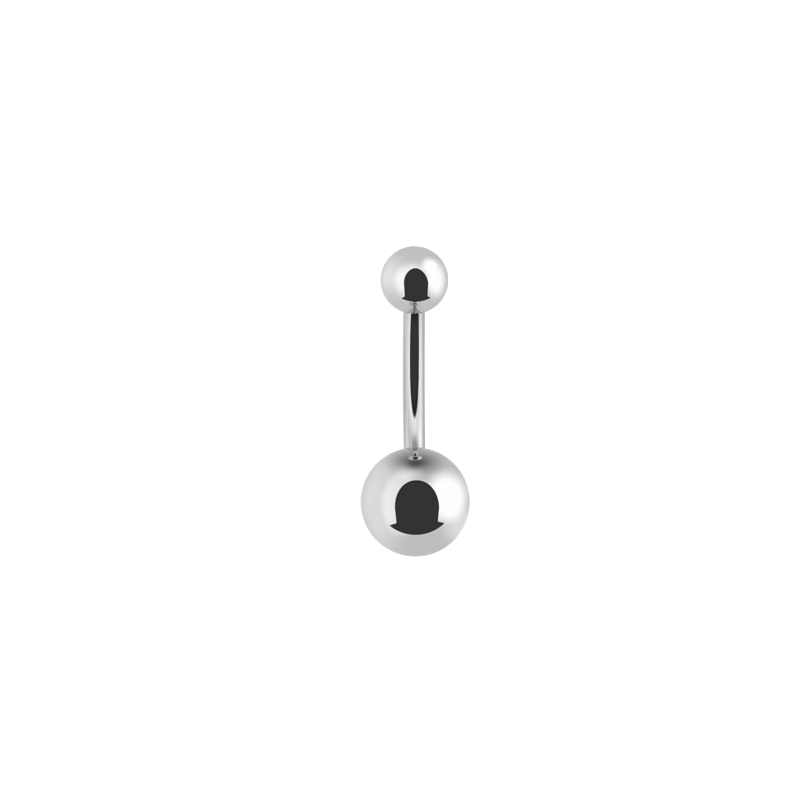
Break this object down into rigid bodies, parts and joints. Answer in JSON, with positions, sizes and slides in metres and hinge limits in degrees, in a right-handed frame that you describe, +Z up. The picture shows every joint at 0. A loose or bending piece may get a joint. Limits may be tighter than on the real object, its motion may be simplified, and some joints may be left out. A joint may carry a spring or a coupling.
{
  "type": "navel ring",
  "caption": "Curved bar with a small ball screwed on one end and a large ball on the other, worn through a navel piercing.",
  "frame": {"origin": "centre of the ring's box, on the flat surface that it lies on", "axes": "+Z up; +Y along the ring, from the large ball to the small one; +X the side to which the bend leans, so that the hollow of the bend faces -X and up"},
  "size_m": [0.008, 0.0228, 0.008],
  "materials": {
    "bar_steel": "mirror-polished surgical steel",
    "ball_steel": "mirror-polished surgical steel"
  },
  "bodies": {
    "bar_body": {"curved_bar": "bar_steel"},
    "top_ball_body": {"top_ball": "ball_steel"},
    "bottom_ball_body": {"bottom_ball": "ball_steel"}
  },
  "joints": [
    {"name": "top_ball_unscrew", "type": "slide", "parent": "bar_body", "child": "top_ball_body", "axis": [-0.409, 0.8421, 0.3515], "range_m": [0, 0.0024]},
    {"name": "bottom_ball_unscrew", "type": "slide", "parent": "bar_body", "child": "bottom_ball_body", "axis": [-0.3487, -0.8267, 0.4416], "range_m": [0, 0.0024]}
  ]
}
